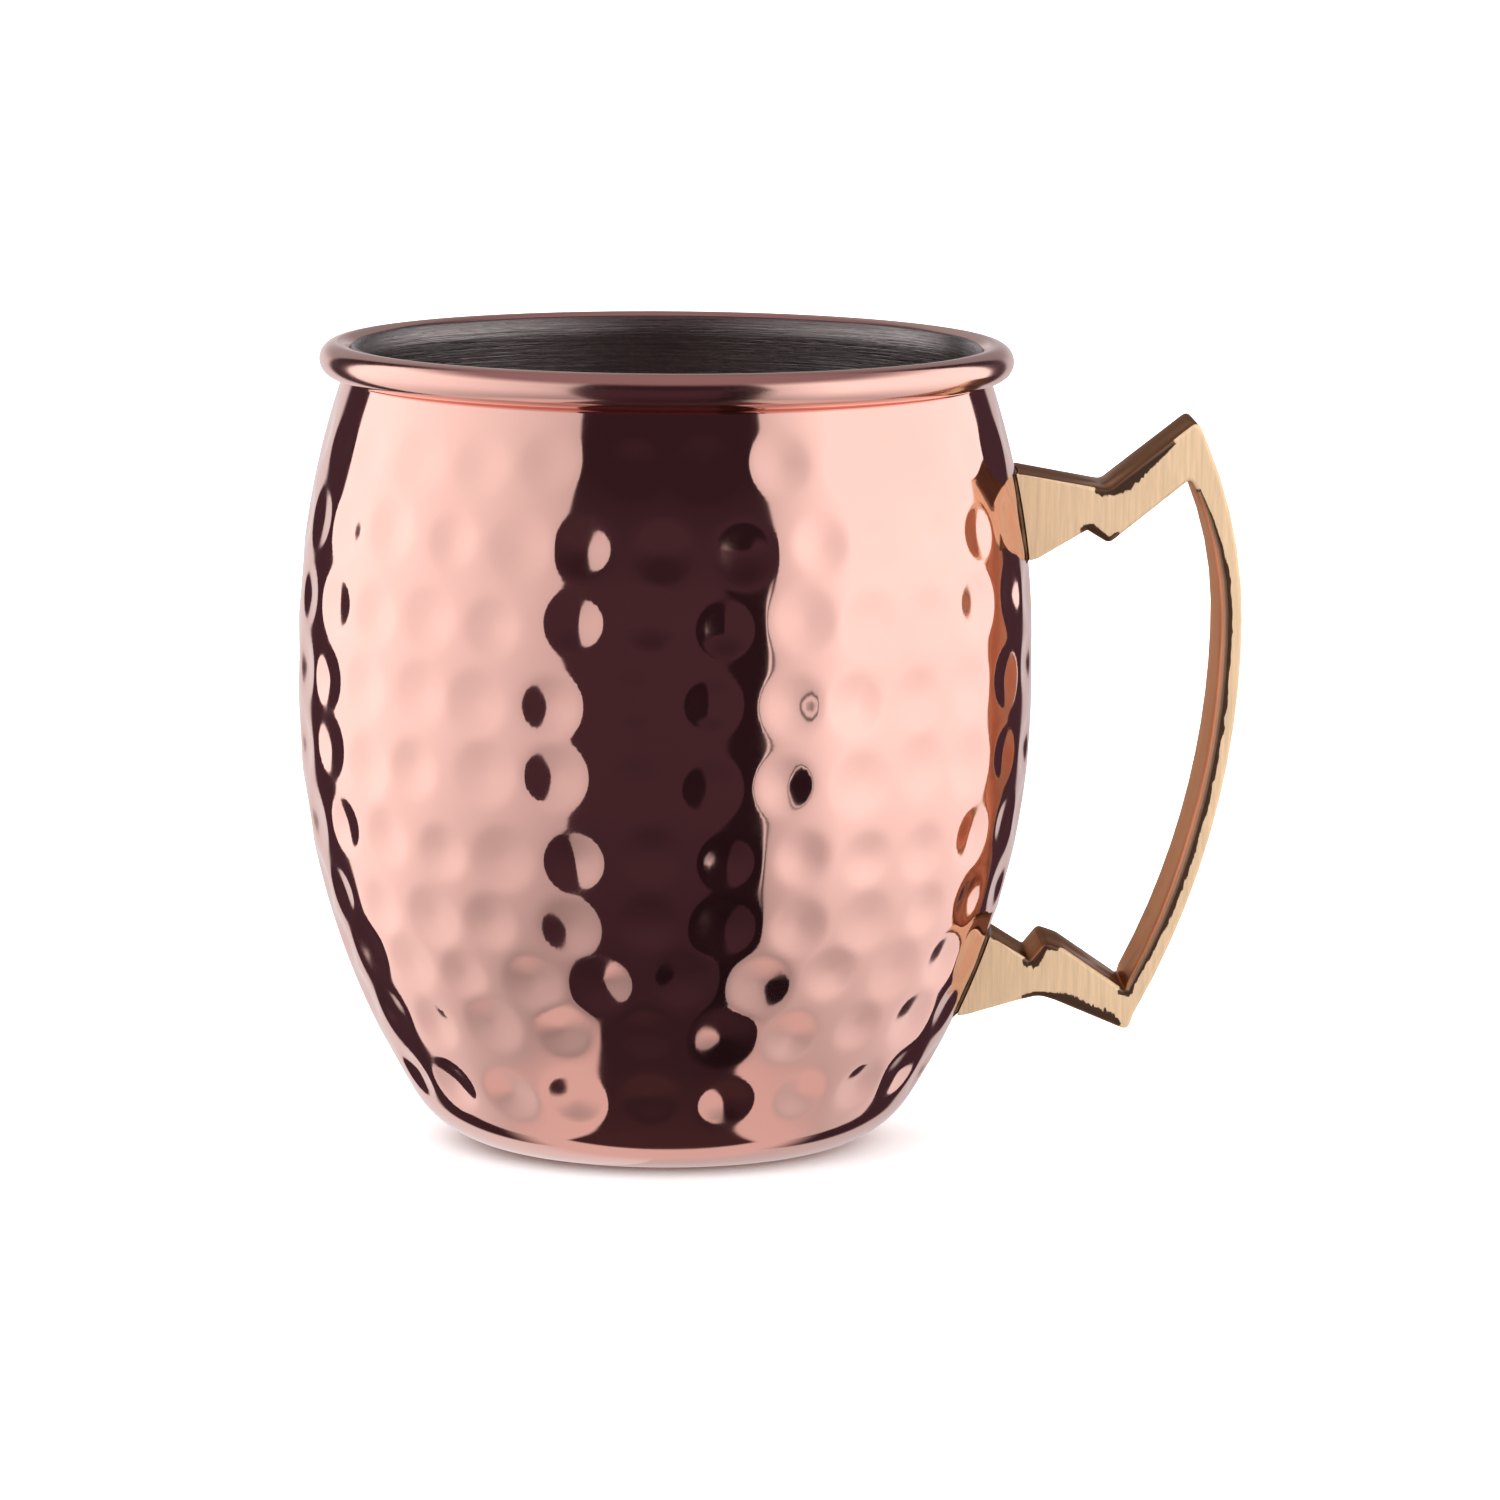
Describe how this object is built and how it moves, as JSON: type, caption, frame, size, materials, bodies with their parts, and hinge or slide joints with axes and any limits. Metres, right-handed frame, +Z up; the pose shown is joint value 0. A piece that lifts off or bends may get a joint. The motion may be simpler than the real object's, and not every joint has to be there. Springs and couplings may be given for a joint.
{
  "type": "mug",
  "caption": "Barrel-shaped hammered copper mug with a rolled rim, a smooth steel liner and an angular cast brass handle.",
  "frame": {"origin": "on the mug's axis, at the flat disc that it stands on", "axes": "+Z up along the mug's axis, +X towards the handle, Y across the handle's width"},
  "size_m": [0.1128, 0.088, 0.0965],
  "materials": {
    "hammered_copper": "polished copper, hammered with shallow round dimples",
    "brushed_liner_steel": "stainless steel, finely brushed round the axis",
    "cast_brass": "cast brass, linished front and back, dull in the corners",
    "braze_metal": "dark brazing alloy"
  },
  "bodies": {
    "root": {"copper_shell": "hammered_copper", "steel_liner": "brushed_liner_steel", "brass_handle": "cast_brass", "upper_braze_joint": "braze_metal", "lower_braze_joint": "braze_metal"}
  },
  "joints": []
}
